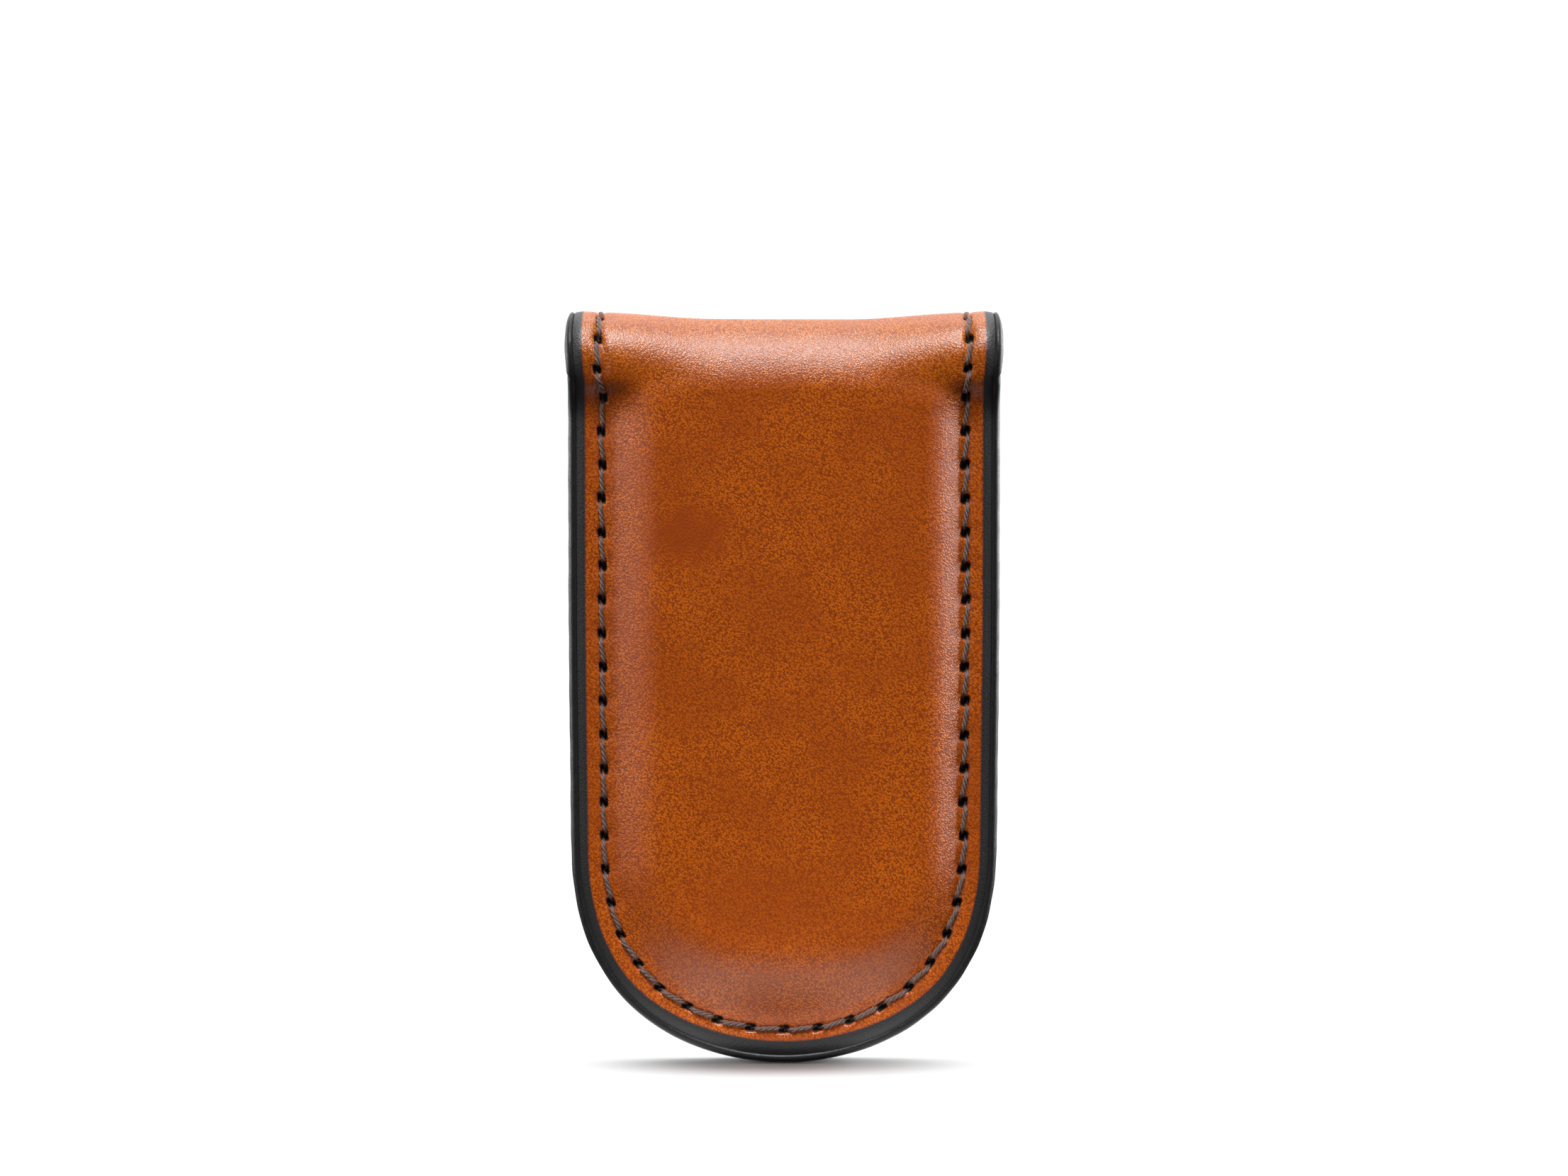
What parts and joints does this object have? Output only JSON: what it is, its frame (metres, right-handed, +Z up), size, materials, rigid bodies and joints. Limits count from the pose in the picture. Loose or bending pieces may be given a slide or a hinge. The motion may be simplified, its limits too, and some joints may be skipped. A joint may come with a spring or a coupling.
{
  "type": "money clip",
  "caption": "Folded leather money clip: rounded padded legs hold magnets that grip notes, stitched round the rim, with painted edges and a flexible fold.",
  "frame": {"origin": "lowest point of the rounded leg ends, midway between the legs", "axes": "+Z up to the crest of the fold, the front leg faces -Y and the back leg +Y, +X to the right seen from the front"},
  "size_m": [0.0406, 0.0096, 0.0703],
  "materials": {
    "tan_leather": "burnished, lightly waxed full grain",
    "lining_leather": "matt, fine grain",
    "edge_paint": "satin edge paint",
    "thread": "waxed twisted thread",
    "tape": "woven reinforcement tape",
    "padding_felt": "pressed felt",
    "board": "dense bonded leather board",
    "magnet": "nickel plated"
  },
  "bodies": {
    "front_leg": {"front_outer_leather": "tan_leather", "front_lining": "lining_leather", "front_magnet_board": "board", "front_lower_magnet": "magnet", "front_upper_magnet": "magnet", "front_padding": "padding_felt", "front_edge_coat": "edge_paint", "front_needle_thread": "thread", "front_bobbin_thread": "thread"},
    "fold": {"fold_outer_leather": "tan_leather", "fold_tape": "tape", "fold_lining": "lining_leather", "fold_edge_coat": "edge_paint", "fold_needle_thread": "thread", "fold_bobbin_thread": "thread"},
    "back_leg": {"back_outer_leather": "tan_leather", "back_lining": "lining_leather", "back_magnet_board": "board", "back_lower_magnet": "magnet", "back_upper_magnet": "magnet", "back_padding": "padding_felt", "back_edge_coat": "edge_paint", "back_needle_thread": "thread", "back_bobbin_thread": "thread"}
  },
  "joints": [
    {"name": "front_bend", "type": "hinge", "parent": "front_leg", "child": "fold", "pos_m": [0, -0.00326, 0.06712], "axis": [1, 0, 0], "range_deg": [0, 60], "stiffness_Nm_per_rad": 0.006, "springref_deg": -17.19},
    {"name": "back_bend", "type": "hinge", "parent": "fold", "child": "back_leg", "pos_m": [0, 0.00326, 0.06712], "axis": [1, 0, 0], "range_deg": [0, 60], "stiffness_Nm_per_rad": 0.006, "springref_deg": -17.19}
  ],
  "couplings": [
    {"joint": "back_bend", "follows": "front_bend", "ratio": 1}
  ]
}
